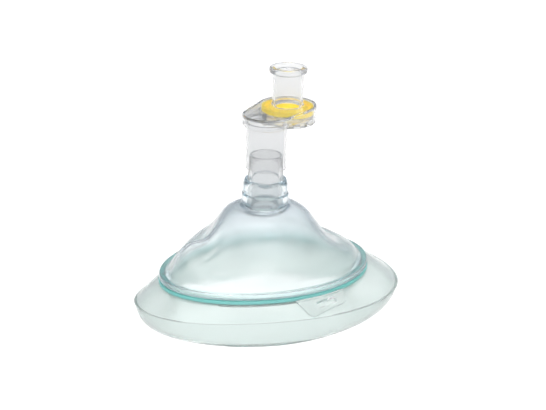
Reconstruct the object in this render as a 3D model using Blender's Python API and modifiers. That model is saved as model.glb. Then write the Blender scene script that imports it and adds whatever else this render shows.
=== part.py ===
"""Pocket resuscitation mask with an offset one-way valve.

Frame: +X from the nose end to the chin end, +Z up along the neck, z = 0 on the face cushion's
contact ring, origin at the centre of the cushion's outline. Lengths are in metres.
"""
import math

import bmesh
import bpy
from mathutils import Matrix, Vector

MM = 0.001
GAP = 0.35 * MM                  # clearance kept between neighbouring pieces

# ---- face outline: the flange where the dome meets the cushion --------------------------------
OUTLINE_X = 52.85 * MM           # half length of the flange
OUTLINE_Y = 39.12 * MM           # half width of the flange
EGG = 0.071                      # the chin end is wider than the nose end
EGG_2 = -0.014
AROUND = 40                      # sections round the mask
TURNED = 32                      # sides of a turned piece

# ---- heights of the stack, from the face up ---------------------------------------------------
CUSHION_TOP = 18.7 * MM
BEAD_BOTTOM, BEAD_TOP = 19.05 * MM, 20.55 * MM
RIM_BOTTOM, RIM_TOP = 20.9 * MM, 23.6 * MM
NECK_BASE = 52.8 * MM            # where the dome meets the collar
COLLAR_TOP = 65.6 * MM
CONNECTOR_TOP = 77.4 * MM
TUBE_BOTTOM = 70.8 * MM          # lower end of the valve's patient tube
CHAMBER_BOTTOM = 88.5 * MM
BODY_TOP = 95.4 * MM
COVER_BOTTOM, COVER_TOP = 95.75 * MM, 97.0 * MM
MOUTHPIECE_TOP = 115.0 * MM

# ---- radii ------------------------------------------------------------------------------------
NECK_X = 0.4 * MM                # the neck's axis
NECK_RADIUS = 11.5 * MM
COLLAR_BORE = 8.75 * MM
DOME_WALL = 1.6 * MM
CUSHION_WALL = 1.0 * MM
PATIENT_RADIUS, PATIENT_BORE = 9.5 * MM, 8.45 * MM
LEFT_RADIUS = 11.4 * MM          # round end of the valve over the neck
CHAMBER_RADIUS, CHAMBER_BORE = 13.7 * MM, 12.65 * MM
MOUTH_RADIUS, MOUTH_BORE = 7.4 * MM, 6.2 * MM
DIAPHRAGM_RADIUS = 12.3 * MM
DISC_RADIUS = 7.2 * MM
VALVE_REACH = 19.1 * MM          # from the neck's axis to the mouthpiece's axis
VALVE_TURN = math.radians(27)    # direction of the mouthpiece seen from above, from +X
PORT_ANGLE = math.radians(40)    # place of the inflation port on the outline

NECK = Vector((NECK_X, 0, 0))
CHAMBER = NECK + VALVE_REACH * Vector((math.cos(VALVE_TURN), math.sin(VALVE_TURN), 0))


def clear_scene():
    for thing in list(bpy.data.objects):
        bpy.data.objects.remove(thing, do_unlink=True)


def new_collection(name):
    collection = bpy.data.collections.new(name)
    bpy.context.scene.collection.children.link(collection)
    return collection


def plastic(name, colour, roughness, alpha=1.0):
    material = bpy.data.materials.new(name)
    material.use_nodes = True
    shader = material.node_tree.nodes["Principled BSDF"]
    shader.inputs["Base Color"].default_value = (*colour, 1)
    shader.inputs["Roughness"].default_value = roughness
    shader.inputs["Metallic"].default_value = 0
    shader.inputs["Alpha"].default_value = alpha
    return material


clear_scene()
PARTS = new_collection("pocket_mask")
CUTTERS = new_collection("cutters")
SHELL = plastic("clear_shell", (0.80, 0.87, 0.89), 0.10, 0.45)
SOFT = plastic("cushion_vinyl", (0.78, 0.92, 0.89), 0.25, 0.60)
TEAL = plastic("bond_teal", (0.17, 0.62, 0.58), 0.25)
CLEAR = plastic("clear_valve", (0.86, 0.88, 0.89), 0.06, 0.35)
YELLOW = plastic("yellow_silicone", (0.90, 0.66, 0.02), 0.40)


# ---- modelling helpers ------------------------------------------------------------------------
def link(name, mesh, material=None, collection=PARTS):
    thing = bpy.data.objects.new(name, mesh)
    collection.objects.link(thing)
    if material:
        mesh.materials.append(material)
    return thing


def shade(thing):
    thing.data.shade_smooth()
    thing.data.set_sharp_from_angle(angle=math.radians(35))


def turned(name, profile, axis, material=None, collection=PARTS, sides=TURNED):
    """A solid of revolution about the vertical through axis. The profile is in (radius, height)."""
    mesh = bpy.data.meshes.new(name)
    points = [(radius, 0, height) for radius, height in profile]
    on_axis = profile[0][0] == 0
    edges = [(i, i + 1) for i in range(len(points) - 1)]
    if not on_axis:
        edges.append((len(points) - 1, 0))
    mesh.from_pydata(points, edges, [])
    thing = link(name, mesh, material, collection)
    thing.location = axis
    screw = thing.modifiers.new("Turn", "SCREW")
    screw.steps = screw.render_steps = sides
    screw.use_merge_vertices = True
    screw.merge_threshold = 0.00001
    return thing


def ring(name, inner, outer, bottom, top, axis, material=None, collection=PARTS):
    return turned(name, [(inner, top), (outer, top), (outer, bottom), (inner, bottom)],
                  axis, material, collection)


def rod(name, radius, bottom, top, axis, collection=CUTTERS):
    return turned(name, [(0, top), (radius, top), (radius, bottom), (0, bottom)],
                  axis, None, collection)


def plate(name, outlines, bottom, top, material=None, collection=PARTS):
    """A flat plate from closed outlines in X and Y; an outline inside another is a hole."""
    curve = bpy.data.curves.new(name, "CURVE")
    curve.dimensions = "2D"
    curve.fill_mode = "BOTH"
    curve.extrude = (top - bottom) / 2
    for outline in outlines:
        spline = curve.splines.new("POLY")
        spline.points.add(len(outline) - 1)
        for point, (x, y) in zip(spline.points, outline):
            point.co = (x, y, 0, 1)
        spline.use_cyclic_u = True
    flat = bpy.data.objects.new(name + "_outline", curve)
    CUTTERS.objects.link(flat)
    bpy.context.view_layer.update()
    mesh = bpy.data.meshes.new_from_object(flat.evaluated_get(bpy.context.evaluated_depsgraph_get()))
    bpy.data.objects.remove(flat, do_unlink=True)
    work = bmesh.new()
    work.from_mesh(mesh)
    bmesh.ops.remove_doubles(work, verts=work.verts, dist=1e-6)
    bmesh.ops.translate(work, verts=work.verts, vec=(0, 0, (top + bottom) / 2))
    bmesh.ops.recalc_face_normals(work, faces=work.faces)
    work.to_mesh(mesh)
    work.free()
    mesh.materials.clear()
    return link(name, mesh, material, collection)


def boolean(thing, other, operation):
    step = thing.modifiers.new(operation.title(), "BOOLEAN")
    step.operation = operation
    step.solver = "EXACT"
    step.object = other
    other.hide_render = True
    other.display_type = "WIRE"


def loft(name, sections, material):
    """A closed ring-shaped body through a loop of closed sections with equal point counts."""
    mesh = bpy.data.meshes.new(name)
    count, size = len(sections), len(sections[0])
    points = [point for section in sections for point in section]
    faces = []
    for i in range(count):
        for j in range(size):
            here, after = i * size, (i + 1) % count * size
            beside = (j + 1) % size
            faces.append((here + j, after + j, after + beside, here + beside))
    mesh.from_pydata(points, [], faces)
    work = bmesh.new()
    work.from_mesh(mesh)
    bmesh.ops.recalc_face_normals(work, faces=work.faces)
    work.to_mesh(mesh)
    work.free()
    return link(name, mesh, material)


def arc(radius, start, end, steps, centre=(0, 0)):
    """Points on an arc; the angles are in degrees."""
    turn = [math.radians(start + (end - start) * i / steps) for i in range(steps + 1)]
    return [(centre[0] + radius * math.cos(a), centre[1] + radius * math.sin(a)) for a in turn]


# ---- the mask's outline and dome surface ------------------------------------------------------
def outline(angle, offset):
    """A point of the face outline, grown by offset; angle 0 is the chin and pi the nose."""
    egg = 1 + EGG * math.cos(angle) + EGG_2 * math.cos(2 * angle)
    return Vector(((OUTLINE_X + offset) * math.cos(angle), (OUTLINE_Y + offset) * math.sin(angle) * egg, 0))


def outward(angle):
    """Horizontal unit normal of the outline."""
    step = outline(angle + 0.01, 0) - outline(angle - 0.01, 0)
    return Vector((step.y, -step.x, 0)).normalized()


def spline(values, amount, mirrored=False):
    """Catmull-Rom value at a share of the way along evenly spaced values, level at mirrored ends."""
    last = len(values) - 1
    place = min(max(amount, 0), 1) * last
    i = min(int(place), last - 1)
    f = place - i
    before, after = (1, last - 1) if mirrored else (0, last)
    a = values[i - 1] if i else values[before]
    b, c = values[i], values[i + 1]
    d = values[i + 2] if i + 2 <= last else values[after]
    return b + 0.5 * f * (c - a + f * (2 * a - 5 * b + 4 * c - d + f * (3 * (b - c) + d - a)))


# Dome heights in millimetres up six meridians, in even steps from the rim to the neck. The nose
# has a high ridge between two pinched valleys, and the chin a low bulge that ends in a hollow.
DOME_CHIN = (23.6, 28.0, 30.6, 32.0, 35.0, 41.2, 48.0, 51.6, 52.8)
DOME_JAW = (23.6, 29.2, 32.0, 34.0, 37.6, 43.2, 48.8, 51.8, 52.8)
DOME_CHEEK = (23.6, 30.6, 35.0, 38.8, 42.8, 46.4, 49.4, 51.6, 52.8)
DOME_TEMPLE = (23.6, 30.4, 34.4, 37.4, 40.6, 45.2, 49.8, 52.0, 52.8)
DOME_VALLEY = (23.6, 28.4, 31.0, 33.4, 37.0, 42.8, 49.4, 52.2, 52.8)
DOME_NOSE = (23.6, 35.6, 40.4, 41.0, 41.4, 45.4, 50.2, 52.4, 52.8)
MERIDIANS = (DOME_CHIN, DOME_JAW, DOME_CHEEK, DOME_CHEEK, DOME_TEMPLE, DOME_VALLEY, DOME_NOSE)
DOME_FOOT = 2.6 * MM             # the dome starts this far inside the rim's edge


def dome_height(angle, inward):
    """Height of the dome's outside; inward is 0 at the rim and 1 at the neck."""
    side = abs(math.remainder(angle, 2 * math.pi)) / math.pi
    column = [spline(meridian, inward) for meridian in MERIDIANS]
    return spline(column, side, mirrored=True) * MM


def dome_point(angle, inward):
    foot = outline(angle, -DOME_FOOT)
    top = NECK + NECK_RADIUS * Vector((math.cos(angle), math.sin(angle), 0))
    point = foot.lerp(top, inward)
    point.z = dome_height(angle, inward)
    return point


def dome_inside(angle, inward):
    """The point of the dome's inner face under dome_point."""
    step = 0.02
    along = dome_point(angle, min(inward + step, 1)) - dome_point(angle, max(inward - step, 0))
    across = dome_point(angle + step, inward) - dome_point(angle - step, inward)
    normal = across.cross(along).normalized()
    if normal.z < 0:
        normal.negate()
    return dome_point(angle, inward) - DOME_WALL * normal


COLLAR_PROFILE = (               # radius and height in millimetres, from the dome to the bore
    (10.8, 53.5), (10.6, 54.1), (11.0, 54.6), (11.0, 58.5), (10.4, 59.0), (10.4, 63.6), (9.6, 65.6),
)


def make_dome():
    """Clear shell: flat rim, lofted dome and the collar that holds the neck connector."""
    shares = [0, 0.06, 0.13, 0.2, 0.3, 0.4, 0.5, 0.6, 0.72, 0.86, 1]
    sections = []
    for i in range(AROUND):
        angle = 2 * math.pi * i / AROUND
        spoke = Vector((math.cos(angle), math.sin(angle), 0))
        edge = outline(angle, 0)
        section = [edge + Vector((0, 0, RIM_BOTTOM)), edge + Vector((0, 0, RIM_TOP))]
        section += [dome_point(angle, share) for share in shares]
        for radius, height in COLLAR_PROFILE:
            section.append(NECK + spoke * radius * MM + Vector((0, 0, height * MM)))
        section.append(NECK + spoke * COLLAR_BORE + Vector((0, 0, COLLAR_TOP)))
        section.append(NECK + spoke * COLLAR_BORE + Vector((0, 0, NECK_BASE - DOME_WALL)))
        section += [dome_inside(angle, share) for share in reversed(shares[1:-1])]
        section.append(outline(angle, -DOME_FOOT - DOME_WALL) + Vector((0, 0, RIM_BOTTOM)))
        sections.append(section)
    shade(loft("mask_dome", sections, SHELL))


# ---- the cushion ------------------------------------------------------------------------------
def seam_offset(angle):
    """How far the cushion's widest line stands outside the flange."""
    return (10.33 + 3.15 * math.cos(angle) + 2.58 * math.cos(2 * angle) - 3.15 * math.cos(3 * angle)) * MM


def seam_height(angle):
    return (12.65 + 0.94 * math.cos(angle) + 0.27 * math.cos(2 * angle) - 0.61 * math.cos(3 * angle)) * MM


def foot_offset(angle):
    """Outer edge of the flat ring that meets the face."""
    return (1.57 - 3.28 * math.cos(angle) - 2.75 * math.cos(2 * angle)) * MM


CONTACT_WIDTH = 3.5 * MM
ROOF_START = 0.3 * MM
ROOF_CROWN = 0.8 * MM
ROOF_INNER = -4.4 * MM           # inner edge of the flat top under the rim
BELLY_POWER = 1.9                # roundness of the wall from the seam down to the face
FACE_SIDE, FACE_FOLLOW = -6.8 * MM, 0.45    # the inner wall's offset, and how far it follows the foot


def belly(angle, rise):
    """Offset of the outer wall at a height given as a share of the seam's height."""
    foot, seam = foot_offset(angle), seam_offset(angle)
    return foot + (seam - foot) * (1 - (1 - rise) ** BELLY_POWER) ** (1 / BELLY_POWER)


def cushion_section(angle):
    """Offset and height pairs round the cushion, from the flat top outwards and down."""
    seam, height, foot = seam_offset(angle), seam_height(angle), foot_offset(angle)
    pairs = [(ROOF_INNER, CUSHION_TOP), (ROOF_START, CUSHION_TOP)]
    for share in (0.33, 0.67):
        crown = ROOF_CROWN * math.sin(math.pi * share)
        pairs.append((ROOF_START + (seam - ROOF_START) * share,
                      CUSHION_TOP + (height - CUSHION_TOP) * share + crown))
    pairs.append((seam, height))
    for rise in (0.62, 0.32, 0.1):
        pairs.append((belly(angle, rise), height * rise))
    pairs += [(foot, 0), (foot - CONTACT_WIDTH, 0)]
    inner = FACE_SIDE + FACE_FOLLOW * foot
    pairs += [(min(inner, foot - CONTACT_WIDTH - 0.6 * MM) + 0.2 * MM, 3.0 * MM),
              (inner - 0.3 * MM, 9.0 * MM), (inner * 0.5 - 2.9 * MM, 15.0 * MM)]
    return pairs


def make_cushion():
    """Hollow face cushion with one hole, for the inflation port."""
    sections = []
    for i in range(AROUND):
        angle = 2 * math.pi * i / AROUND
        sections.append([outline(angle, offset) + Vector((0, 0, height))
                         for offset, height in cushion_section(angle)])
    cushion = loft("mask_cuff", sections, SOFT)
    wall = cushion.modifiers.new("Wall", "SOLIDIFY")
    wall.thickness = CUSHION_WALL
    wall.offset = -1
    through = 5 * MM
    hole = rod("port_hole", PORT_STEM + GAP, -through, through, PORT_SEAT)
    hole.rotation_euler = PORT_ROTATION
    boolean(cushion, hole, "DIFFERENCE")


BEAD_INNER = -3.6 * MM


def make_bead():
    """Tinted bond bead between the shell's rim and the cushion."""
    sections = []
    for i in range(AROUND):
        angle = 2 * math.pi * i / AROUND
        inner, outer = outline(angle, BEAD_INNER), outline(angle, ROOF_START)
        sections.append([edge + Vector((0, 0, height)) for edge, height in (
            (inner, BEAD_TOP), (outer, BEAD_TOP), (outer, BEAD_BOTTOM), (inner, BEAD_BOTTOM))])
    shade(loft("seam_ring", sections, TEAL))


# ---- inflation port ---------------------------------------------------------------------------
PORT_STEM = 3.0 * MM
PORT_BORE = 1.9 * MM
PORT_HEIGHT_SHARE = 0.62         # of the seam's height
PORT_OUT = outward(PORT_ANGLE)
PORT_SEAT = outline(PORT_ANGLE, belly(PORT_ANGLE, PORT_HEIGHT_SHARE))
PORT_SEAT.z = seam_height(PORT_ANGLE) * PORT_HEIGHT_SHARE
PORT_ROTATION = PORT_OUT.to_track_quat("Z", "Y").to_euler()


def make_port():
    """Short stem through the cushion's wall, with its push-in plug."""
    flange, lip, back, mouth = 4.6 * MM, 1.0 * MM, -3.0 * MM, 3.6 * MM
    stem = turned("inflation_port", [
        (PORT_BORE, mouth), (PORT_STEM, mouth), (PORT_STEM, lip + 0.9 * MM), (flange, lip + 0.9 * MM),
        (flange, lip), (PORT_STEM, lip), (PORT_STEM, back), (PORT_BORE, back)], PORT_SEAT, SOFT, sides=20)
    stem.rotation_euler = PORT_ROTATION
    cap_bottom = mouth + GAP
    plug = turned("port_plug", [
        (0, cap_bottom + 1.6 * MM), (2.6 * MM, cap_bottom + 1.6 * MM), (3.2 * MM, cap_bottom + 1.0 * MM),
        (3.2 * MM, cap_bottom), (PORT_BORE - GAP, cap_bottom), (PORT_BORE - GAP - 0.2 * MM, -1.0 * MM),
        (0, -1.0 * MM)], PORT_SEAT, CLEAR, sides=20)
    plug.rotation_euler = PORT_ROTATION
    for thing in (stem, plug):
        shade(thing)


# ---- strap lugs -------------------------------------------------------------------------------
LUG_X = 6.0 * MM                 # middle of the lug along the mask
LUG_ROOT, LUG_TIP = 27 * MM, 17 * MM
LUG_REACH = 8.6 * MM
LUG_THICKNESS = 0.9 * MM
LUG_SLOT = (9.5 * MM, 2.6 * MM)
LUG_SLOT_OUT = 5.0 * MM
LUG_TILT = math.radians(31)


def make_lug(name, side):
    """Clear tab with a strap slot, lying on the cushion's roof beside the rim."""
    angle = side * math.acos(LUG_X / OUTLINE_X)
    root = outline(angle, 0.75 * MM)
    normal = outward(angle)
    along = Vector((normal.y, -normal.x, 0))
    base = []
    for i in range(-3, 4):
        point = outline(angle + i * LUG_ROOT / 6 / OUTLINE_X, 0.75 * MM) - root
        base.append((point.dot(along), point.dot(normal) / math.cos(LUG_TILT)))
    base.sort()
    half_tip, round_tip = LUG_TIP / 2, 2.0 * MM
    tip = arc(round_tip, 20, 90, 4, (half_tip - round_tip, LUG_REACH - round_tip))
    tip += arc(round_tip, 90, 160, 4, (round_tip - half_tip, LUG_REACH - round_tip))
    end = (LUG_SLOT[0] - LUG_SLOT[1]) / 2
    slot = arc(LUG_SLOT[1] / 2, -90, 90, 5, (end, LUG_SLOT_OUT))
    slot += arc(LUG_SLOT[1] / 2, 90, 270, 5, (-end, LUG_SLOT_OUT))
    lug = plate(name, [base + tip, slot], 0, LUG_THICKNESS, SHELL)
    down = (normal * math.cos(LUG_TILT) - Vector((0, 0, math.sin(LUG_TILT)))).normalized()
    frame = Matrix((along, down, along.cross(down))).transposed().to_4x4()
    frame.translation = root + Vector((0, 0, CUSHION_TOP + 1.0 * MM))
    lug.matrix_world = frame


# ---- neck connector ---------------------------------------------------------------------------
def make_connector():
    """Tapered tube that turns in the collar and carries the valve on its cone."""
    top, lip = CONNECTOR_TOP, NECK_BASE - DOME_WALL - 1.5 * GAP
    shade(turned("neck_connector", [
        (6.6 * MM, top), (7.3 * MM, top), (7.7 * MM, top - 0.5 * MM), (8.05 * MM, 70.5 * MM),
        (8.35 * MM, COLLAR_TOP + 0.6 * MM), (8.35 * MM, lip), (10.0 * MM, lip), (9.6 * MM, lip - 1.3 * MM),
        (6.6 * MM, lip - 1.3 * MM)], NECK, CLEAR))


# ---- one-way valve ----------------------------------------------------------------------------
def teardrop(near, far, steps=12):
    """Outline round two circles: radius near at the neck and far at the chamber."""
    lean = math.degrees(math.acos((near - far) / VALVE_REACH))
    turn = math.degrees(VALVE_TURN)
    points = arc(far, turn - lean, turn + lean, 2 * steps, (CHAMBER.x, CHAMBER.y))
    return points + arc(near, turn + lean, turn + 360 - lean, steps, (NECK.x, NECK.y))


def make_valve_body():
    """Lower housing: patient tube, gallery and the cup that holds the diaphragm."""
    floor, gallery = 1.2 * MM, 92.3 * MM
    lap = 0.3 * MM
    body = plate("valve_body", [teardrop(LEFT_RADIUS, CHAMBER_RADIUS)], gallery, BODY_TOP, CLEAR)
    cup = rod("body_cup", CHAMBER_RADIUS - 0.1 * MM, CHAMBER_BOTTOM, gallery + lap, CHAMBER)
    step = rod("body_step", LEFT_RADIUS - 0.9 * MM, 91.0 * MM, gallery + 0.4 * MM, NECK)
    tube = rod("body_tube", PATIENT_RADIUS, TUBE_BOTTOM, gallery + 0.5 * MM, NECK)
    for piece in (cup, step, tube):
        boolean(body, piece, "UNION")
    cavity = plate("body_gallery", [teardrop(LEFT_RADIUS - 1.2 * MM, CHAMBER_BORE - 0.05 * MM)],
                   gallery + 1.0 * MM, BODY_TOP + 1 * MM, None, CUTTERS)
    well = rod("body_well", CHAMBER_BORE, CHAMBER_BOTTOM + floor, gallery + 1.7 * MM, CHAMBER)
    bore = rod("body_bore", PATIENT_BORE, TUBE_BOTTOM - 1 * MM, gallery + 1.8 * MM, NECK)
    for piece in (cavity, well, bore):
        boolean(body, piece, "DIFFERENCE")
    vents, out, middle = 9, CHAMBER_RADIUS - 2.4 * MM, CHAMBER_BOTTOM + 0.5 * MM
    for i in range(vents):
        turn = VALVE_TURN + math.radians(-128 + 256 * i / (vents - 1))
        bpy.ops.mesh.primitive_cube_add(size=1)
        vent = bpy.context.object
        vent.name = f"vent_{i}"
        vent.scale = (1.8 * MM, 3.6 * MM, 2.6 * MM)
        vent.location = CHAMBER + out * Vector((math.cos(turn), math.sin(turn), 0))
        vent.location.z = middle
        vent.rotation_euler.z = turn
        for home in list(vent.users_collection):
            home.objects.unlink(vent)
        CUTTERS.objects.link(vent)
        boolean(body, vent, "DIFFERENCE")


def make_valve_cover():
    """Upper housing: lid, valve seat and the mouthpiece tube with its rolled rim."""
    cover = plate("valve_cover", [teardrop(LEFT_RADIUS, CHAMBER_RADIUS)], COVER_BOTTOM, COVER_TOP, CLEAR)
    rim, roll, top = 9.0 * MM, 0.8 * MM, MOUTHPIECE_TOP
    neck = top - 2.6 * MM
    tube = turned("cover_tube", [
        (0, top), (rim - roll, top), (rim, top - roll), (rim, neck + roll), (rim - roll, neck),
        (MOUTH_RADIUS, neck - 0.4 * MM), (MOUTH_RADIUS + 0.3 * MM, COVER_TOP - 0.2 * MM),
        (MOUTH_RADIUS - 0.3 * MM, COVER_BOTTOM - GAP), (0, COVER_BOTTOM - GAP)], CHAMBER, None, CUTTERS)
    boolean(cover, tube, "UNION")
    bore = rod("cover_bore", MOUTH_BORE, COVER_BOTTOM - 2 * MM, top + 1 * MM, CHAMBER)
    boolean(cover, bore, "DIFFERENCE")


SUPPORT_TOP = 92.65 * MM


def make_support():
    """Open spider that holds the diaphragm's rim up and stops its disc."""
    outer, deep = DIAPHRAGM_RADIUS, 1.2 * MM
    inner = outer - 1.9 * MM
    spider = ring("diaphragm_support", inner, outer, SUPPORT_TOP - deep, SUPPORT_TOP, CHAMBER, CLEAR)
    low, high = SUPPORT_TOP - deep + 0.1 * MM, SUPPORT_TOP - 0.45 * MM
    boolean(spider, rod("spider_hub", 3.0 * MM, low, high, CHAMBER), "UNION")
    for i in range(3):
        bpy.ops.mesh.primitive_cube_add(size=1, location=CHAMBER)
        arm = bpy.context.object
        arm.name = f"spider_arm_{i}"
        arm.scale = (2 * outer - 1.2 * MM, 1.6 * MM, high - low - 0.1 * MM)
        arm.location.z = (low + high) / 2
        arm.rotation_euler.z = VALVE_TURN + math.pi / 3 * i
        for home in list(arm.users_collection):
            home.objects.unlink(arm)
        CUTTERS.objects.link(arm)
        boolean(spider, arm, "UNION")


DISC_BOTTOM, DISC_TOP = 94.1 * MM, 95.05 * MM
WEB_LOW = 93.4 * MM              # height of the web where it leaves the rim


def make_diaphragm():
    """Silicone diaphragm: clamped rim, corrugated web and the disc that seals on the seat."""
    rim_inner = DIAPHRAGM_RADIUS - 1.4 * MM
    ring("diaphragm_rim", rim_inner, DIAPHRAGM_RADIUS, SUPPORT_TOP + GAP, BODY_TOP, CHAMBER, YELLOW)
    inner, outer = DISC_RADIUS + GAP, rim_inner - GAP
    skin, rise, waves = 0.45 * MM, DISC_TOP - WEB_LOW, 8
    upper = []
    for i in range(waves + 1):
        share = i / waves
        wave = 0.18 * MM * math.sin(4 * math.pi * share)
        upper.append((inner + (outer - inner) * share, WEB_LOW + skin + (rise - skin) * (1 - share) + wave))
    lower = [(radius, height - skin) for radius, height in reversed(upper)]
    turned("diaphragm_web", upper + lower, CHAMBER, YELLOW)
    dome, crown = 4.5 * MM, 0.5 * MM
    turned("diaphragm_disc", [
        (0, DISC_TOP + crown), (dome * 0.6, DISC_TOP + crown * 0.7), (dome, DISC_TOP - 0.1 * MM),
        (DISC_RADIUS - 1.2 * MM, DISC_TOP), (DISC_RADIUS, DISC_TOP - 0.1 * MM),
        (DISC_RADIUS, DISC_BOTTOM + 0.3 * MM), (DISC_RADIUS - 0.5 * MM, DISC_BOTTOM), (0, DISC_BOTTOM)],
        CHAMBER, YELLOW)


make_cushion()
make_bead()
make_dome()
make_lug("strap_lug_near", -1)
make_lug("strap_lug_far", 1)
make_port()
make_connector()
make_valve_body()
make_valve_cover()
make_support()
make_diaphragm()
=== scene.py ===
"""Looks of the pocket resuscitation mask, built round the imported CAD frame. Lengths are in metres."""
import math

import bmesh
import bpy
from mathutils import Matrix, Vector


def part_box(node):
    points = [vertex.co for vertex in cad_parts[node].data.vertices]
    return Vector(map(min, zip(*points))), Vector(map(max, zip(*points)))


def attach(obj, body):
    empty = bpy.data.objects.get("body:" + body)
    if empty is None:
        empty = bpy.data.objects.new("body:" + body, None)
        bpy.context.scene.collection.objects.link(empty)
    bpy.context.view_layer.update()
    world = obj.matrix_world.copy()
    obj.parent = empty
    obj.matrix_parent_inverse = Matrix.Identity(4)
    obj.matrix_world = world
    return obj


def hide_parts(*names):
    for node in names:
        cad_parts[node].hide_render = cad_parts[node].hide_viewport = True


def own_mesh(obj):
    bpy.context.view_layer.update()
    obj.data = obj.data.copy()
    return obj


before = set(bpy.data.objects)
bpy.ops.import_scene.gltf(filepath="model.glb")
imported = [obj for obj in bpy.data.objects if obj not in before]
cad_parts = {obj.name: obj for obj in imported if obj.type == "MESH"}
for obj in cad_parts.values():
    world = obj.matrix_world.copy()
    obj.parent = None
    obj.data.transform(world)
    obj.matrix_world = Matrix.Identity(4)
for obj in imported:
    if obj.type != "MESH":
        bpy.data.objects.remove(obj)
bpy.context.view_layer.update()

MM = 0.001
AROUND = 192                     # sections round the mask
TURNED = 128                     # sides of a turned piece
SLIVER = 0.005 * MM              # points closer than this are welded after a cut or a join

# ---- places and sizes taken from the frame ----------------------------------------------------
BEAD_LOW, BEAD_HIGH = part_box("seam_ring")
CONNECTOR_LOW, CONNECTOR_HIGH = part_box("neck_connector")
SEAL_LOW, SEAL_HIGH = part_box("diaphragm_rim")
CUSHION_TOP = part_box("mask_cuff")[1].z
RIM_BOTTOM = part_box("mask_dome")[0].z
NECK = Vector(((CONNECTOR_LOW.x + CONNECTOR_HIGH.x) / 2, 0, 0))
CHAMBER = Vector(((SEAL_LOW.x + SEAL_HIGH.x) / 2, (SEAL_LOW.y + SEAL_HIGH.y) / 2, 0))
VALVE_REACH = (CHAMBER - NECK).length
VALVE_TURN = math.atan2(CHAMBER.y - NECK.y, CHAMBER.x - NECK.x)

# ---- the CAD model's sizes that its boxes don't give ------------------------------------------
ROOF_START = 0.3 * MM            # the bond bead stands this far outside the dome's rim
OUTLINE_X = BEAD_HIGH.x - ROOF_START     # half length of the dome's rim
OUTLINE_Y = 39.12 * MM           # its half width
EGG, EGG_2 = 0.071, -0.014       # the chin end is wider than the nose end
RIM_TOP = 23.6 * MM
RIM_INSIDE = 4.2 * MM            # the shell's inner edge lies this far inside the rim's outer edge
NECK_RADIUS = 11.5 * MM          # where the dome meets the collar
DOME_WALL = 1.6 * MM
CUSHION_WALL = 1.0 * MM
NUDGE = 0.01                     # small turn, in radians, for slopes along the outline


# ---- camera, light and floor ------------------------------------------------------------------
def make_camera():
    """Three-quarter view, 32.6 degrees round from the side and 19.7 up; its place comes from a fit."""
    turn, rise, roll = math.radians(-32.6), math.radians(19.7), math.radians(1.15)
    away, height = 0.848, 0.056
    back = Vector((math.sin(turn) * math.cos(rise), -math.cos(turn) * math.cos(rise), math.sin(rise)))
    data = bpy.data.cameras.new("camera")
    data.sensor_width, data.lens = 36, 119.1
    data.shift_x, data.shift_y = 0.0143, -0.0145
    camera = bpy.data.objects.new("camera", data)
    bpy.context.scene.collection.objects.link(camera)
    place = Matrix.Translation(NECK + Vector((0, 0, height)) + back * away)
    aim = back.to_track_quat("Z", "Y").to_matrix().to_4x4()
    camera.matrix_world = place @ aim @ Matrix.Rotation(roll, 4, "Z")
    bpy.context.scene.camera = camera


def ramp_node(tree, stops):
    """A colour ramp from (place, colour) stops."""
    ramp = tree.nodes.new("ShaderNodeValToRGB")
    elements = ramp.color_ramp.elements
    while len(elements) < len(stops):
        elements.new(0.5)
    for element, (place, colour) in zip(elements, stops):
        element.position = place
        element.color = (*colour, 1)
    return ramp


SKY = ((0.0, (0.9, 0.9, 0.9)), (0.47, (0.78, 0.81, 0.84)), (0.58, (0.60, 0.63, 0.68)),
       (0.65, (0.17, 0.19, 0.23)), (0.72, (0.20, 0.22, 0.26)), (0.8, (0.9, 0.9, 0.9)),
       (0.9, (1.2, 1.2, 1.2)), (1.0, (1.4, 1.4, 1.4)))


def make_world():
    """Sky from straight down (0) to straight up (1), with a dim band over the horizon for clear edges."""
    world = bpy.data.worlds.new("studio")
    world.use_nodes = True
    tree = world.node_tree
    coordinates = tree.nodes.new("ShaderNodeTexCoord")
    split = tree.nodes.new("ShaderNodeSeparateXYZ")
    rise = tree.nodes.new("ShaderNodeMapRange")
    rise.inputs["From Min"].default_value = -1
    sky = ramp_node(tree, SKY)
    tree.links.new(coordinates.outputs["Generated"], split.inputs[0])
    tree.links.new(split.outputs["Z"], rise.inputs["Value"])
    tree.links.new(rise.outputs["Result"], sky.inputs["Fac"])
    tree.links.new(sky.outputs["Color"], tree.nodes["Background"].inputs["Color"])
    bpy.context.scene.world = world


def make_light():
    """A broad key light from the left front and a fill light from the right back."""
    for name, place, size, power in (("key", (-0.6, -0.8, 1.2), 1.6, 9), ("fill", (1.0, 0.4, 1.1), 1.6, 5)):
        data = bpy.data.lights.new(name, "AREA")
        data.size, data.energy = size, power
        lamp = bpy.data.objects.new(name, data)
        bpy.context.scene.collection.objects.link(lamp)
        lamp.location = place
        lamp.rotation_euler = (Vector((0, 0, 0.05)) - lamp.location).to_track_quat("-Z", "Y").to_euler()


FLOOR_RADIUS, FLOOR_DROP = 12, 0.4 * MM
GLOW_END, DIM_START = 1.2, 3.5   # distances from the mask between which the floor's glow fades


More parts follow.
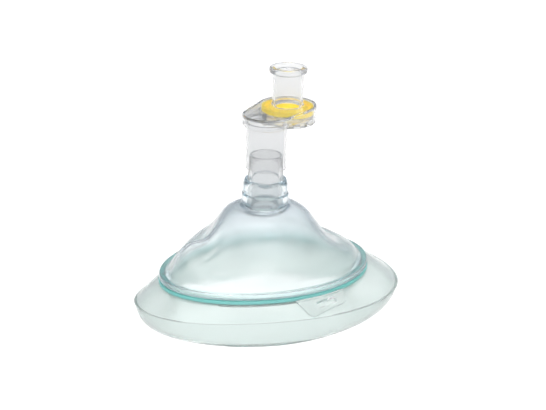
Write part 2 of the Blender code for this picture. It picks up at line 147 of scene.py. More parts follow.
def make_floor():
    """White floor that glows round the mask and dims far away, past the pictures' edge."""
    bpy.ops.mesh.primitive_circle_add(vertices=96, radius=FLOOR_RADIUS, fill_type="NGON",
                                      location=(0, 0, -FLOOR_DROP))
    floor = bpy.context.object
    floor.name = "floor"
    material = bpy.data.materials.new("floor_white")
    material.use_nodes = True
    tree = material.node_tree
    shader = tree.nodes["Principled BSDF"]
    coordinates = tree.nodes.new("ShaderNodeTexCoord")
    distance = tree.nodes.new("ShaderNodeVectorMath")
    distance.operation = "LENGTH"
    far = tree.nodes.new("ShaderNodeMapRange")
    far.inputs["From Min"].default_value, far.inputs["From Max"].default_value = GLOW_END, DIM_START
    glow = ramp_node(tree, ((0.0, (1.05, 1.05, 1.05)), (1.0, (0.02, 0.03, 0.04))))
    tone = ramp_node(tree, ((0.0, (0.10, 0.10, 0.10)), (1.0, (0.25, 0.28, 0.32))))
    tree.links.new(coordinates.outputs["Object"], distance.inputs[0])
    tree.links.new(distance.outputs["Value"], far.inputs["Value"])
    for ramp, socket in ((glow, "Emission Color"), (tone, "Base Color")):
        tree.links.new(far.outputs["Result"], ramp.inputs["Fac"])
        tree.links.new(ramp.outputs["Color"], shader.inputs[socket])
    shader.inputs["Roughness"].default_value = 0.9
    shader.inputs["Emission Strength"].default_value = 1.0
    floor.data.materials.append(material)


make_camera()
make_world()
make_light()
make_floor()
bpy.context.scene.view_settings.view_transform = "Standard"

# Light reflects many times inside a thick clear wall. With fewer bounces it runs out, and edges turn black.
CLEAR_BOUNCES = 24
cycles = bpy.context.scene.cycles
cycles.max_bounces = cycles.transmission_bounces = cycles.glossy_bounces = CLEAR_BOUNCES


# ---- materials --------------------------------------------------------------------------------
def principled(name, **values):
    """A Principled material, its node tree and its shader, with values set on the shader's own sockets."""
    material = bpy.data.materials.new(name)
    material.use_nodes = True
    shader = material.node_tree.nodes["Principled BSDF"]
    for key, value in values.items():
        shader.inputs[key.replace("_", " ")].default_value = value
    return material, material.node_tree, shader


def noise(tree, scale, detail=3.0, stretch=(1, 1, 1)):
    """A noise texture in the row frame's own coordinates."""
    coordinates = tree.nodes.new("ShaderNodeTexCoord")
    mapping = tree.nodes.new("ShaderNodeMapping")
    mapping.inputs["Scale"].default_value = stretch
    texture = tree.nodes.new("ShaderNodeTexNoise")
    texture.inputs["Scale"].default_value = scale
    texture.inputs["Detail"].default_value = detail
    tree.links.new(coordinates.outputs["Object"], mapping.inputs["Vector"])
    tree.links.new(mapping.outputs["Vector"], texture.inputs["Vector"])
    return texture.outputs["Fac"]


def bump(tree, shader, height, strength, distance):
    """Feeds a height into the shader's normal."""
    node = tree.nodes.new("ShaderNodeBump")
    node.inputs["Strength"].default_value = strength
    node.inputs["Distance"].default_value = distance
    tree.links.new(height, node.inputs["Height"])
    tree.links.new(node.outputs["Normal"], shader.inputs["Normal"])


def vary(tree, factor, low, high, socket):
    """Drives a colour or value socket between two values by a factor."""
    if isinstance(low, tuple):
        node = tree.nodes.new("ShaderNodeMix")
        node.data_type = "RGBA"
        node.inputs["A"].default_value, node.inputs["B"].default_value = (*low, 1), (*high, 1)
        tree.links.new(factor, node.inputs["Factor"])
        tree.links.new(node.outputs["Result"], socket)
        return
    node = tree.nodes.new("ShaderNodeMapRange")
    node.inputs["From Min"].default_value, node.inputs["From Max"].default_value = 0.3, 0.7
    node.inputs["To Min"].default_value, node.inputs["To Max"].default_value = low, high
    tree.links.new(factor, node.inputs["Value"])
    tree.links.new(node.outputs["Result"], socket)


def clear_plastic(name, tint, roughness, scale, depth, body, density, clarity=1.0):
    """Moulded clear plastic: faint flow marks in its tint, gloss and surface, deeper where it is thick."""
    material, tree, shader = principled(name, Transmission_Weight=clarity, IOR=1.47)
    flow = noise(tree, scale, 2.0)
    vary(tree, flow, tint[0], tint[1], shader.inputs["Base Color"])
    vary(tree, noise(tree, scale * 3, 2.0), roughness[0], roughness[1], shader.inputs["Roughness"])
    bump(tree, shader, flow, 0.3, depth)
    inside = tree.nodes.new("ShaderNodeVolumeAbsorption")
    inside.inputs["Color"].default_value = (*body, 1)
    inside.inputs["Density"].default_value = density
    tree.links.new(inside.outputs["Volume"], tree.nodes["Material Output"].inputs["Volume"])
    return material


def tint_and_shade_by_height(material, stops):
    """Multiplies a clear plastic's tint by a ramp over height, from (millimetres, colour) stops; the ramp
    carries painted shade as well as tint.
    """
    tree = material.node_tree
    shader = tree.nodes["Principled BSDF"]
    coordinates = tree.nodes.new("ShaderNodeTexCoord")
    split = tree.nodes.new("ShaderNodeSeparateXYZ")
    low, high = stops[0][0] * MM, stops[-1][0] * MM
    rise = tree.nodes.new("ShaderNodeMapRange")
    rise.inputs["From Min"].default_value, rise.inputs["From Max"].default_value = low, high
    ramp = ramp_node(tree, [((height * MM - low) / (high - low), colour) for height, colour in stops])
    blend = tree.nodes.new("ShaderNodeMix")
    blend.data_type, blend.blend_type = "RGBA", "MULTIPLY"
    blend.inputs["Factor"].default_value = 1
    before = shader.inputs["Base Color"].links[0].from_socket
    tree.links.new(coordinates.outputs["Object"], split.inputs[0])
    tree.links.new(split.outputs["Z"], rise.inputs["Value"])
    tree.links.new(rise.outputs["Result"], ramp.inputs["Fac"])
    tree.links.new(before, blend.inputs["A"])
    tree.links.new(ramp.outputs["Color"], blend.inputs["B"])
    tree.links.new(blend.outputs["Result"], shader.inputs["Base Color"])


CHANGE_DEPTH = 1.5 * MM          # height over which change_above blends


def change_above(material, height, clarity, roughness):
    """Blends a plastic's clarity and roughness to new values above a height."""
    tree = material.node_tree
    shader = tree.nodes["Principled BSDF"]
    coordinates = tree.nodes.new("ShaderNodeTexCoord")
    split = tree.nodes.new("ShaderNodeSeparateXYZ")
    tree.links.new(coordinates.outputs["Object"], split.inputs[0])
    for name, value in (("Transmission Weight", clarity), ("Roughness", roughness)):
        socket = shader.inputs[name]
        rise = tree.nodes.new("ShaderNodeMapRange")
        rise.inputs["From Min"].default_value = height - CHANGE_DEPTH
        rise.inputs["From Max"].default_value = height
        rise.inputs["To Min"].default_value = socket.default_value
        rise.inputs["To Max"].default_value = value
        if socket.links:
            tree.links.new(socket.links[0].from_socket, rise.inputs["To Min"])
        tree.links.new(split.outputs["Z"], rise.inputs["Value"])
        tree.links.new(rise.outputs["Result"], socket)


# Each tint and roughness is a low and a high value. The body colour and its density absorb light inside.
GREY_BODY, BLUE_BODY, MINT_BODY = (0.45, 0.52, 0.58), (0.30, 0.58, 0.70), (0.30, 0.74, 0.62)
SHELL = clear_plastic("clear_shell", ((0.975, 0.99, 0.99), (0.992, 1.0, 0.998)), (0.18, 0.25), 26, 0.0003,
                      BLUE_BODY, 28, 0.93)
# Painted shade over height: the shell darkens to grey-blue between 46 and 52 mm, where its wall turns steep
# below the collar; it is mint in the middle and teal at the rim, next to the bead.
tint_and_shade_by_height(SHELL, ((20.9, (0.74, 0.95, 0.93)), (21.8, (0.80, 0.97, 0.95)), (22.6, (0.95, 1.0, 0.99)),
                       (34, (0.985, 1.0, 0.995)), (46, (0.91, 0.935, 0.96)), (52, (0.89, 0.915, 0.945)),
                       (54.5, (0.98, 0.985, 0.99)), (66, (1.0, 1.0, 1.0))))
change_above(SHELL, 53.5 * MM, 1.0, 0.08)
LUG = clear_plastic("clear_lug", ((0.98, 0.99, 0.99), (0.995, 1.0, 1.0)), (0.03, 0.06), 60, 0.0001,
                    GREY_BODY, 6)
CLEAR = clear_plastic("clear_valve", ((0.89, 0.895, 0.90), (0.92, 0.925, 0.93)), (0.03, 0.07), 60, 0.00012,
                      GREY_BODY, 10, 0.88)
LID = clear_plastic("clear_lid", ((0.935, 0.94, 0.945), (0.96, 0.965, 0.97)), (0.03, 0.06), 60, 0.00012,
                    GREY_BODY, 6, 0.98)
change_above(LID, 100 * MM, 0.85, 0.05)
SOFT = clear_plastic("cushion_vinyl", ((0.945, 1.0, 0.985), (0.96, 1.0, 0.99)), (0.18, 0.25), 30, 0.0003,
                     MINT_BODY, 26, 0.85)
TEAL = clear_plastic("bond_teal", ((0.26, 0.82, 0.77), (0.38, 0.88, 0.84)), (0.10, 0.20), 60, 0.0001,
                     MINT_BODY, 30, 0.45)


def silicone():
    """Satin yellow silicone with a painted glow: its emission stands in for the light that reaches it through
    the clear parts.
    """
    material, tree, shader = principled("yellow_silicone", Subsurface_Weight=0.25, IOR=1.41)
    shader.inputs["Subsurface Radius"].default_value = (0.002, 0.001, 0.0003)
    shader.inputs["Subsurface Scale"].default_value = 0.4
    # Painted light: this emission makes the silicone glow though no lamp lights it so.
    shader.inputs["Emission Color"].default_value = (1.0, 0.75, 0.0, 1)
    shader.inputs["Emission Strength"].default_value = 0.55
    vary(tree, noise(tree, 180), (0.88, 0.64, 0.0), (0.96, 0.74, 0.002), shader.inputs["Base Color"])
    vary(tree, noise(tree, 300), 0.32, 0.48, shader.inputs["Roughness"])
    bump(tree, shader, noise(tree, 1500, 2.0), 0.2, 0.00005)
    return material


YELLOW = silicone()


# ---- mesh helpers -----------------------------------------------------------------------------
def finished(name, mesh, material, body, replaced, sharp=40, flat=False):
    """Links a piece, shades it, hangs it under its CAD body and hides the CAD nodes it replaces; flat keeps big
    faces flat.
    """
    piece = bpy.data.objects.new(name, mesh)
    bpy.context.scene.collection.objects.link(piece)
    mesh.materials.clear()
    mesh.materials.append(material)
    mesh.shade_smooth()
    mesh.set_sharp_from_angle(angle=math.radians(sharp))
    if flat:
        even = piece.modifiers.new("Even", "WEIGHTED_NORMAL")
        even.weight, even.keep_sharp = 100, True
    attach(piece, body)
    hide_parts(*replaced)
    return piece


def closed_mesh(name, points, faces):
    """A mesh from points and faces, with every face pointing out."""
    mesh = bpy.data.meshes.new(name)
    mesh.from_pydata(points, [], faces)
    work = bmesh.new()
    work.from_mesh(mesh)
    bmesh.ops.recalc_face_normals(work, faces=work.faces)
    work.to_mesh(mesh)
    work.free()
    return mesh


def rings_mesh(name, rings, closed=True, capped=False):
    """A mesh through equal rings of points; closed joins the last ring to the first."""
    count, size = len(rings), len(rings[0])
    points = [tuple(point) for ring in rings for point in ring]
    faces = []
    for i in range(count if closed else count - 1):
        for j in range(size):
            here, after, beside = i * size, (i + 1) % count * size, (j + 1) % size
            faces.append((here + j, after + j, after + beside, here + beside))
    if capped:
        faces += [tuple(range(size)), tuple(range((count - 1) * size, count * size))]
    return closed_mesh(name, points, faces)


def rounded(corners, steps=5, closed=True):
    """A polyline whose corners (x, y, radius) are rounded; a radius of 0 keeps the corner."""
    points = []
    count = len(corners)
    for i, (x, y, radius) in enumerate(corners):
        if radius == 0 or (not closed and i in (0, count - 1)):
            points.append((x, y))
            continue
        here = Vector((x, y))
        before, after = Vector(corners[i - 1][:2]), Vector(corners[(i + 1) % count][:2])
        start = here + (before - here).normalized() * min(radius, (before - here).length * 0.49)
        end = here + (after - here).normalized() * min(radius, (after - here).length * 0.49)
        for k in range(steps + 1):
            share = k / steps
            points.append(tuple(start.lerp(here, share).lerp(here.lerp(end, share), share)))
    return points


def turned_mesh(name, profile, axis, sides=TURNED, direction=None):
    """A closed solid turned from a closed profile of (radius, height), about an axis through a point."""
    rotation = direction.to_track_quat("Z", "Y").to_matrix() if direction else Matrix.Identity(3)
    points, rings = [], []
    hub = any(radius == 0 for radius, height in profile)      # a point on the axis closes the shape
    for radius, height in profile:
        turns = 1 if radius == 0 else sides
        ring = []
        for i in range(turns):
            angle = 2 * math.pi * i / sides
            spot = rotation @ Vector((radius * math.cos(angle), radius * math.sin(angle), height))
            ring.append(len(points))
            points.append(tuple(axis + spot))
        rings.append(ring)
    faces = []
    for i in range(len(rings) - (1 if hub else 0)):
        low, high = rings[i], rings[(i + 1) % len(rings)]
        for j in range(sides):
            beside = (j + 1) % sides
            loop = [low[j % len(low)], low[beside % len(low)]]
            loop += [high[beside % len(high)], high[j % len(high)]]
            faces.append(tuple(dict.fromkeys(loop)))
    return closed_mesh(name, points, faces)


def combined(name, first, others):
    """The mesh of first after exact unions and cuts with the others, given as (mesh, operation)."""
    base = bpy.data.objects.new(name, first)
    bpy.context.scene.collection.objects.link(base)
    tools = []
    for mesh, operation in others:
        tool = bpy.data.objects.new(mesh.name, mesh)
        bpy.context.scene.collection.objects.link(tool)
        step = base.modifiers.new(operation.title(), "BOOLEAN")
        step.operation, step.solver, step.object = operation, "EXACT", tool
        tools.append(tool)
    bpy.context.view_layer.update()
    mesh = bpy.data.meshes.new_from_object(base.evaluated_get(bpy.context.evaluated_depsgraph_get()))
    for thing in [base, *tools]:
        bpy.data.objects.remove(thing, do_unlink=True)
    work = bmesh.new()
    work.from_mesh(mesh)
    bmesh.ops.remove_doubles(work, verts=work.verts, dist=SLIVER)
    bmesh.ops.dissolve_degenerate(work, edges=work.edges, dist=SLIVER)
    work.to_mesh(mesh)
    work.free()
    return mesh


# ---- outline, dome and cushion surfaces, as the CAD model has them ----------------------------
def outline(angle, offset):
    """A point on the rim's egg-shaped outline, moved outwards by an offset; 0 is the chin end."""
    egg = 1 + EGG * math.cos(angle) + EGG_2 * math.cos(2 * angle)
    return Vector(((OUTLINE_X + offset) * math.cos(angle), (OUTLINE_Y + offset) * math.sin(angle) * egg, 0))


def outward(angle):
    """The level direction straight out of the outline."""
    step = outline(angle + NUDGE, 0) - outline(angle - NUDGE, 0)
    return Vector((step.y, -step.x, 0)).normalized()


def spline(values, amount, mirrored=False):
    """A smooth curve through evenly spaced values, from 0 to 1; mirrored makes its ends level."""
    last = len(values) - 1
    place = min(max(amount, 0), 1) * last
    i = min(int(place), last - 1)
    f = place - i
    before, after = (1, last - 1) if mirrored else (0, last)
    a = values[i - 1] if i else values[before]
    b, c = values[i], values[i + 1]
    d = values[i + 2] if i + 2 <= last else values[after]
    return b + 0.5 * f * (c - a + f * (2 * a - 5 * b + 4 * c - d + f * (3 * (b - c) + d - a)))


# Heights in millimetres from the rim to the neck, along profiles from the chin round to the nose.
DOME_CHIN = (23.6, 28.0, 30.6, 32.0, 35.0, 41.2, 48.0, 51.6, 52.8)
DOME_JAW = (23.6, 29.2, 32.0, 34.0, 37.6, 43.2, 48.8, 51.8, 52.8)
DOME_CHEEK = (23.6, 30.6, 35.0, 38.8, 42.8, 46.4, 49.4, 51.6, 52.8)
DOME_TEMPLE = (23.6, 30.4, 34.4, 37.4, 40.6, 45.2, 49.8, 52.0, 52.8)
DOME_VALLEY = (23.6, 28.4, 31.0, 33.4, 37.0, 42.8, 49.4, 52.2, 52.8)
DOME_NOSE = (23.6, 35.6, 40.4, 41.0, 41.4, 45.4, 50.2, 52.4, 52.8)
MERIDIANS = (DOME_CHIN, DOME_JAW, DOME_CHEEK, DOME_CHEEK, DOME_TEMPLE, DOME_VALLEY, DOME_NOSE)
DOME_FOOT = 2.6 * MM             # the dome starts this far inside the rim's edge
CREASE_ANGLE, CREASE_WIDTH, CREASE_DEPTH = math.radians(166), math.radians(5), 1.8
CREASE_END = 0.65                # share of the way from the rim to the neck


def crease(angle, inward):
    """Depth in millimetres of the pinched groove that runs down each side of the nose ridge."""
    across = (abs(math.remainder(angle, 2 * math.pi)) - CREASE_ANGLE) / CREASE_WIDTH
    along = max(math.sin(math.pi * min(inward / CREASE_END, 1)), 0)
    return CREASE_DEPTH * along * math.exp(-across * across)


def dome_point(angle, inward):
    """A point on the dome's outside; inward is 0 at the rim and 1 at the neck."""
    foot = outline(angle, -DOME_FOOT)
    top = NECK + NECK_RADIUS * Vector((math.cos(angle), math.sin(angle), 0))
    side = abs(math.remainder(angle, 2 * math.pi)) / math.pi
    point = foot.lerp(top, inward)
    height = spline([spline(meridian, inward) for meridian in MERIDIANS], side, mirrored=True)
    point.z = (height - crease(angle, inward)) * MM
    return point


def dome_inside(angle, inward):
    """The point one wall inside a point on the dome."""
    step = 0.02
    along = dome_point(angle, min(inward + step, 1)) - dome_point(angle, max(inward - step, 0))
    across = dome_point(angle + step, inward) - dome_point(angle - step, inward)
    normal = across.cross(along).normalized()
    if normal.z < 0:
        normal.negate()
    return dome_point(angle, inward) - DOME_WALL * normal


# The coefficients in the three functions below, and the outline's sizes at the top, come from a
# least-squares fit to the cushion's visible edges. They are not round design sizes.
def seam_offset(angle):
    """How far the cushion's welded seam lies outside the rim's outline."""
    return (10.33 + 3.15 * math.cos(angle) + 2.58 * math.cos(2 * angle) - 3.15 * math.cos(3 * angle)) * MM


def seam_height(angle):
    """Height of the cushion's welded seam."""
    return (12.65 + 0.94 * math.cos(angle) + 0.27 * math.cos(2 * angle) - 0.61 * math.cos(3 * angle)) * MM


def foot_offset(angle):
    """How far the outer edge of the face contact lies outside the rim's outline."""
    return (1.57 - 3.28 * math.cos(angle) - 2.75 * math.cos(2 * angle)) * MM


CONTACT_WIDTH = 3.5 * MM         # flat ring that meets the face
ROOF_CROWN = 0.8 * MM            # how far the cushion's roof bulges up
BELLY_POWER = 1.9                # roundness of the wall from the seam down to the face


def belly(angle, rise):
    """Offset of the cushion's outer wall; rise is 0 at the face and 1 at the seam."""
    foot, seam = foot_offset(angle), seam_offset(angle)
    return foot + (seam - foot) * (1 - (1 - rise) ** BELLY_POWER) ** (1 / BELLY_POWER)


def roof(angle, offset):
    """Height of the cushion's roof at an offset outside the rim."""
    share = min(max((offset - ROOF_START) / (seam_offset(angle) - ROOF_START), 0), 1)
    crown = ROOF_CROWN * math.sin(math.pi * share)
    return CUSHION_TOP + (seam_height(angle) - CUSHION_TOP) * share + crown


# ---- the mask ---------------------------------------------------------------------------------
def make_dome():
    """Clear shell: rolled rim, lofted dome and two-ring collar, with a true wall."""
    steps = 34
    shares = [i / steps for i in range(steps + 1)]
    collar = rounded([
        (11.5, 52.8, 0), (10.8, 53.5, 0.4), (10.6, 54.1, 0.3), (11.0, 54.6, 0.3), (11.0, 58.5, 0.5),
        (10.35, 59.0, 0.3), (10.4, 63.6, 0.8), (9.6, 65.6, 0.5), (8.75, 65.6, 0.3), (8.75, 51.2, 0)])
    collar = [(radius * MM, height * MM) for radius, height in collar]
    rim = rounded([
        (-RIM_INSIDE, RIM_BOTTOM, 0), (0, RIM_BOTTOM, 0.4 * MM),
        (0, RIM_TOP, 0.7 * MM), (-DOME_FOOT, RIM_TOP, 0)], closed=False)
    rings = []
    for i in range(AROUND):
        angle = 2 * math.pi * i / AROUND
        spoke = Vector((math.cos(angle), math.sin(angle), 0))
        ring = [outline(angle, offset) + Vector((0, 0, height)) for offset, height in rim]
        ring += [dome_point(angle, share) for share in shares[1:-1]]
        ring += [NECK + spoke * radius + Vector((0, 0, height)) for radius, height in collar]
        ring += [dome_inside(angle, share) for share in reversed(shares[1:-1])]
        rings.append(ring)
    finished("dome_shell", rings_mesh("dome_shell", rings), SHELL, "mask", ["mask_dome"], 50)


FIN_OUT, FIN_HALF = 0.6 * MM, 0.22 * MM       # the welded seam stands out as a thin fin


def cushion_section(angle, fin):
    """Closed section of the air cushion, smooth everywhere but at the welded seam's fin."""
    seam, height, foot = seam_offset(angle), seam_height(angle), foot_offset(angle)
    pairs = [(ROOF_START - 4.7 * MM * (1 - i / 3), CUSHION_TOP) for i in range(4)]
    for i in range(1, 12):
        offset = ROOF_START + (seam - ROOF_START) * i / 12
        pairs.append((offset, roof(angle, offset)))
    if fin:
        pairs += [(seam - 0.1 * MM, height + FIN_HALF), (seam + FIN_OUT, height + FIN_HALF / 2),
                  (seam + FIN_OUT, height - FIN_HALF / 2), (seam, height - FIN_HALF)]
    else:
        pairs.append((seam, height))
    for i in range(1, 14):
        rise = (1 - i / 14) ** 1.6
        if height * (1 - rise) > 2 * FIN_HALF:
            pairs.append((belly(angle, rise), height * rise))
    pairs += [(foot - CONTACT_WIDTH * i / 3, 0) for i in range(4)]
    inner = -6.8 * MM + 0.45 * foot          # the inner wall runs through five knots, face to roof
    low = (foot - CONTACT_WIDTH, 0)
    mid = (inner - 0.3 * MM, 9.0 * MM)
    high = (-4.4 * MM, CUSHION_TOP)
    turn = (min(inner, low[0] - 0.6 * MM), 3.0 * MM)
    shoulder = (inner * 0.5 - 2.9 * MM, 15.0 * MM)
    knots = [low, turn, mid, shoulder, high]
    for i in range(1, 20):
        pairs.append((spline([k[0] for k in knots], i / 20), spline([k[1] for k in knots], i / 20)))
    return pairs


def shrunk(pairs, wall):
    """The section moved inwards by the wall's thickness."""
    moved = []
    for i, (offset, height) in enumerate(pairs):
        before, after = pairs[i - 1], pairs[(i + 1) % len(pairs)]
        along = Vector((after[0] - before[0], after[1] - before[1])).normalized()
        moved.append((offset + along.y * wall, height - along.x * wall))
    return moved


def make_cushion():
    """Air cushion: an outer skin with the seam's fin, and the inner skin one wall inside it."""
    skins = []
    for name, fin in (("outer", True), ("inner", False)):
        rings = []
        for i in range(AROUND):
            angle = 2 * math.pi * i / AROUND
            section = cushion_section(angle, fin)
            if not fin:
                section = shrunk(section, CUSHION_WALL)
            rings.append([outline(angle, offset) + Vector((0, 0, height)) for offset, height in section])
        skins.append(rings_mesh(name, rings))
    work = bmesh.new()
    work.from_mesh(skins[1])
    bmesh.ops.reverse_faces(work, faces=work.faces)
    work.from_mesh(skins[0])
    mesh = bpy.data.meshes.new("air_cushion")
    work.to_mesh(mesh)
    work.free()
    piece = finished("air_cushion", mesh, SOFT, "mask", ["mask_cuff"], 60)


def make_bead():
    """Tinted bond bead under the rim."""
    low, high = BEAD_LOW.z, BEAD_HIGH.z
    profile = rounded([(-3.6 * MM, low, 0.2 * MM), (ROOF_START, low, 0.5 * MM),
                       (ROOF_START, high, 0.5 * MM), (-3.6 * MM, high, 0.2 * MM)])
    rings = []
    for i in range(AROUND):
        angle = 2 * math.pi * i / AROUND
        rings.append([outline(angle, offset) + Vector((0, 0, height)) for offset, height in profile])
    finished("bond_bead", rings_mesh("bond_bead", rings), TEAL, "mask", ["seam_ring"])


# ---- strap lugs -------------------------------------------------------------------------------
LUG_X = 6.0 * MM
LUG_ROOT, LUG_TIP, LUG_REACH = 27 * MM, 17 * MM, 8.0 * MM
LUG_SLOT, LUG_SLOT_OUT = (9.5 * MM, 2.6 * MM), 4.6 * MM
LUG_THICKNESS, LUG_CLEARANCE = 0.9 * MM, 0.35 * MM
LUG_START, LUG_SLOPE = 0.75 * MM, 0.84     # offset of the root, and level reach per length of tab
LUG_SECTIONS, LUG_STEPS = 160, 10


def reach(polygon, direction):
    """Distance from the origin to a closed polygon along a direction."""
    best = 0
    for (ax, ay), (bx, by) in zip(polygon, polygon[1:] + polygon[:1]):
        ex, ey = bx - ax, by - ay
        cross = direction[0] * ey - direction[1] * ex
        if abs(cross) < 1e-15:
            continue
        distance = (ax * ey - ay * ex) / cross
        share = (ax * direction[1] - ay * direction[0]) / cross
        if distance > 0 and -1e-9 <= share <= 1 + 1e-9:
            best = max(best, distance)
    return best


def make_lug(name, node, side):
    """Clear tab round a strap slot, bent to the cushion's roof, with a rolled edge."""
    centre = side * math.acos(LUG_X / OUTLINE_X)
    per_angle = (outline(centre + NUDGE, 0) - outline(centre - NUDGE, 0)).length / (2 * NUDGE)
    top, mid = LUG_REACH - LUG_SLOT_OUT, LUG_SLOT_OUT
    rim = rounded([(-LUG_ROOT / 2, -mid, 0.5 * MM), (LUG_ROOT / 2, -mid, 0.5 * MM),
                   (LUG_TIP / 2, top, 2.4 * MM), (-LUG_TIP / 2, top, 2.4 * MM)], 8)
    wide, high = LUG_SLOT[0] / 2, LUG_SLOT[1] / 2
    slot = rounded([(-wide, -high, high), (wide, -high, high), (wide, high, high), (-wide, high, high)], 8)
    edge, thick = 0.25 * MM, LUG_THICKNESS
    rings = []
    for i in range(LUG_SECTIONS):
        turn = 2 * math.pi * i / LUG_SECTIONS
        direction = (math.cos(turn), math.sin(turn))
        inner, outer = reach(slot, direction), reach(rim, direction)
        across = [inner + edge + (outer - inner - 2 * edge) * k / LUG_STEPS for k in range(LUG_STEPS + 1)]
        section = [(inner, edge), (inner, thick - edge)] + [(r, thick) for r in across]
        section += [(outer, thick - edge), (outer, edge)] + [(r, 0) for r in reversed(across)]
        ring = []
        for distance, height in section:
            along, out = distance * direction[0], distance * direction[1] + mid
            angle = centre - side * along / per_angle
            offset = LUG_START + out * LUG_SLOPE
            lift = roof(angle, offset) + LUG_CLEARANCE + height
            ring.append(outline(angle, offset) + Vector((0, 0, lift)))
        rings.append(ring)
    finished(name, rings_mesh(name, rings), LUG, "mask", [node])


# ---- inflation port ---------------------------------------------------------------------------
PORT_ANGLE = math.radians(40)    # place on the outline
PORT_SHARE = 0.62                # place up the cushion's wall, from the face to the seam


def make_port():
    """Stem through the cushion's wall and its push-in plug with a finger groove."""
    seat = outline(PORT_ANGLE, belly(PORT_ANGLE, PORT_SHARE))
    seat.z = seam_height(PORT_ANGLE) * PORT_SHARE
    out = outward(PORT_ANGLE)
    stem = rounded([
        (1.9, 3.6, 0.2), (3.0, 3.6, 0.3), (3.0, 1.9, 0.4), (4.6, 1.9, 0.4), (4.6, 1.0, 0.3),
        (3.0, 1.0, 0), (3.0, -3.0, 0.2), (1.9, -3.0, 0.2)])
    plug = [(0, 5.5)] + rounded([
        (0, 5.5, 0), (2.6, 5.5, 0.5), (3.2, 5.0, 0.3), (2.9, 4.7, 0.15), (3.2, 4.4, 0.15),
        (3.2, 3.95, 0.15), (1.55, 3.95, 0.1), (1.45, -0.7, 0.2), (0.9, -1.0, 0.2), (0, -1.0, 0)],
        closed=False)[1:]
    for name, node, body, profile, material, slot in (
            ("port_stem", "inflation_port", "mask", stem, SOFT, "cushion_vinyl"),
            ("port_stopper", "port_plug", "plug", plug, CLEAR, "clear_valve")):
        points = [(radius * MM, height * MM) for radius, height in profile]
        finished(name, turned_mesh(name, points, seat, 64, out), material, body, [node], 50)


# ---- neck connector ---------------------------------------------------------------------------
def make_connector():
    """Tapered tube with a soft-edged tip and the snap lip that keeps it in the collar."""
    lip = 50.65                              # height of the lip's top, in millimetres
    profile = rounded([
        (6.6, 77.4, 0.4), (7.7, 77.4, 0.6), (8.05, 70.5, 0), (8.35, 66.2, 0), (8.35, lip, 0),
        (10.0, lip, 0.3), (9.6, lip - 1.3, 0.4), (6.6, lip - 1.3, 0.4)])
    points = [(radius * MM, height * MM) for radius, height in profile]
    finished("neck_tube", turned_mesh("neck_tube", points, NECK), CLEAR, "connector",
             ["neck_connector"])


# ---- one-way valve ----------------------------------------------------------------------------
def teardrop(near, far, height, steps=28):
    """Ring of points round two circles: radius near at the neck and far at the chamber."""
    lean = math.acos((near - far) / VALVE_REACH)
    points = []
    for centre, radius, start, end, count in (
            (CHAMBER, far, VALVE_TURN - lean, VALVE_TURN + lean, 2 * steps),
            (NECK, near, VALVE_TURN + lean, VALVE_TURN + 2 * math.pi - lean, steps)):
        for i in range(count + 1):
            angle = start + (end - start) * i / count
            points.append(centre + Vector((radius * math.cos(angle), radius * math.sin(angle), height)))
    return points


def stack(name, levels):
    """Closed body through teardrop outlines, from (radius at the neck, at the chamber, height)."""
    rings = [teardrop(near * MM, far * MM, height * MM) for near, far, height in levels]
    return rings_mesh(name, rings, closed=False, capped=True)


def solid(name, profile, axis):
    """Turned solid from (radius, height, rounding) in millimetres; it starts and ends on the axis."""
    points = [(radius * MM, height * MM) for radius, height in rounded(profile, closed=False)]
    return turned_mesh(name, points, axis)


def rod(name, radius, bottom, top, axis):
    """Plain cylinder, in millimetres."""
    return solid(name, [(0, top, 0), (radius, top, 0), (radius, bottom, 0), (0, bottom, 0)], axis)


def block(name, size, place, turn):
    """Box of a size in millimetres, centred on a place and turned about the vertical."""
    mesh = bpy.data.meshes.new(name)
    work = bmesh.new()
    bmesh.ops.create_cube(work, size=1)
    scale = Matrix.Diagonal((*(side * MM for side in size), 1))
    matrix = Matrix.Translation(place) @ Matrix.Rotation(turn, 4, "Z") @ scale
    bmesh.ops.transform(work, verts=work.verts, matrix=matrix)
    work.to_mesh(mesh)
    work.free()
    return mesh


VENTS, VENT_SPREAD = 9, 128      # slots, and degrees from the valve's length to the last one each way
VENT_RADIUS, VENT_HEIGHT = 11.3 * MM, 89.0 * MM
VENT_SIZE = (1.8, 3.6, 2.6)


def vent(index):
    """Cutter for one exhalation slot in the floor of the cup."""
    turn = VALVE_TURN + math.radians(-VENT_SPREAD + 2 * VENT_SPREAD * index / (VENTS - 1))
    spoke = Vector((math.cos(turn), math.sin(turn), 0))
    place = Vector((CHAMBER.x, CHAMBER.y, VENT_HEIGHT)) + VENT_RADIUS * spoke
    return block(f"vent_{index}", VENT_SIZE, place, turn)


def make_valve_body():
    """Lower housing: patient tube, gallery and cup in one clear moulding."""
    body = stack("valve_housing", [
        (11.0, 13.3, 92.3), (11.3, 13.6, 92.4), (11.4, 13.7, 92.7), (11.4, 13.7, 95.7)])
    cup = solid("cup", [(0, 92.6, 0), (13.6, 92.6, 0), (13.6, 88.5, 0.7), (0, 88.5, 0)], CHAMBER)
    step = solid("step", [(0, 92.7, 0), (10.5, 92.7, 0), (10.5, 91.0, 0.5), (0, 91.0, 0)], NECK)
    tube = solid("tube", [(0, 92.8, 0), (9.5, 92.8, 0), (9.5, 70.8, 0.35), (0, 70.8, 0)], NECK)
    cuts = [stack("gallery", [(10.2, 12.6, 93.3), (10.2, 12.6, 96.4)]),
            rod("well", 12.65, 89.7, 94.0, CHAMBER), rod("bore", 8.45, 69.8, 94.1, NECK)]
    cuts += [vent(i) for i in range(VENTS)]
    mesh = combined("valve_housing", body, [(piece, "UNION") for piece in (cup, step, tube)]
                    + [(cut, "DIFFERENCE") for cut in cuts])
    finished("valve_housing", mesh, CLEAR, "valve", ["valve_body"], 30, True)


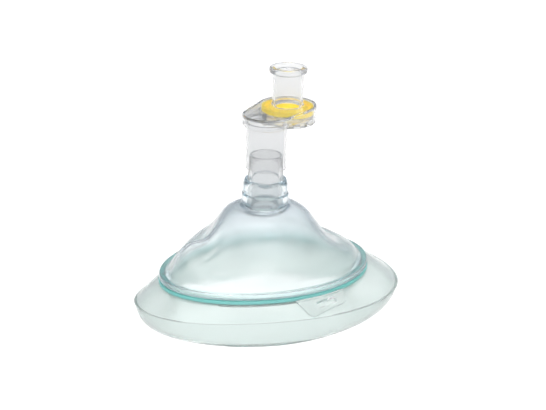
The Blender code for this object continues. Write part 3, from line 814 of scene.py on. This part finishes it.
def make_valve_cover():
    """Upper housing: lid, seat and the mouthpiece tube with its rolled rim."""
    lid = stack("valve_lid", [
        (11.2, 13.5, 95.75), (11.4, 13.7, 95.9), (11.4, 13.7, 96.6), (11.25, 13.55, 96.9), (11.0, 13.3, 97.0)])
    tube = solid("mouth", [
        (0, 115, 0), (9.0, 115, 1.1), (9.0, 112.4, 0.9), (7.4, 112.0, 0.5), (7.45, 97.6, 0.4),
        (7.9, 96.8, 0), (7.1, 95.4, 0), (0, 95.4, 0)], CHAMBER)
    bore = solid("mouth_bore", [
        (0, 116, 0), (7.2, 116, 0), (6.2, 114.4, 0.8), (6.2, 95.0, 0), (0, 95.0, 0)], CHAMBER)
    mesh = combined("valve_lid", lid, [(tube, "UNION"), (bore, "DIFFERENCE")])
    finished("valve_lid", mesh, LID, "valve", ["valve_cover"], 30, True)


def make_support():
    """Clear spider under the diaphragm."""
    ring = turned_mesh("spider", [(r * MM, h * MM) for r, h in rounded([
        (10.4, 92.65, 0.15), (12.3, 92.65, 0.15), (12.3, 91.45, 0.15), (10.4, 91.45, 0.15)])], CHAMBER)
    centre = CHAMBER + Vector((0, 0, 91.9 * MM))
    arms = [block(f"spider_arm_{i}", (23.4, 1.6, 0.55), centre, VALVE_TURN + math.pi / 3 * i) for i in range(3)]
    hub = rod("spider_hub", 3.0, 91.55, 92.2, CHAMBER)
    mesh = combined("diaphragm_spider", ring, [(piece, "UNION") for piece in (hub, *arms)])
    finished("diaphragm_spider", mesh, CLEAR, "valve", ["diaphragm_support"], 30, True)


def make_diaphragm():
    """Silicone rim with a bead, corrugated web, and disc with a raised centre."""
    rim = rounded([(10.9, 95.35, 0.3), (12.3, 95.35, 0.4), (12.3, 93.0, 0.4), (10.9, 93.0, 0.3)])
    inner, outer, low, high, skin = 7.45, 10.6, 93.4, 95.05, 0.45
    steps, ripple = 32, 0.16
    upper = []
    for i in range(steps + 1):
        share = i / steps
        wave = ripple * math.sin(4 * math.pi * share)
        slope = low + skin + (high - low - skin) * (1 - share)
        upper.append((inner + (outer - inner) * share, slope + wave))
    web = upper + [(radius, height - skin) for radius, height in reversed(upper)]
    bulge, bulge_radius, steps = 0.55, 4.6, 16
    disc = [(0, 95.55)]
    for i in range(1, steps + 1):
        share = i / steps
        disc.append((bulge_radius * share, 95.0 + bulge * math.cos(math.pi / 2 * share) ** 1.3))
    disc += rounded([
        (4.6, 95.0, 0), (5.4, 94.85, 0.3), (6.2, 95.05, 0.3), (7.2, 94.95, 0.2), (7.2, 94.3, 0.3),
        (6.7, 94.1, 0.2), (0, 94.1, 0)], closed=False)[1:]
    made = []
    for name, node, body, profile in (("diaphragm_bead", "diaphragm_rim", "valve", rim),
                                      ("diaphragm_bellows", "diaphragm_web", "valve", web),
                                      ("diaphragm_seal", "diaphragm_disc", "disc", disc)):
        points = [(radius * MM, height * MM) for radius, height in profile]
        mesh = turned_mesh(name, points, CHAMBER)
        made.append(finished(name, mesh, YELLOW, body, [node], 60))
    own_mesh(made[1])


make_dome()
make_cushion()
make_bead()
make_lug("lug_near", "strap_lug_near", -1)
make_lug("lug_far", "strap_lug_far", 1)
make_port()
make_connector()
make_valve_body()
make_valve_cover()
make_support()
make_diaphragm()
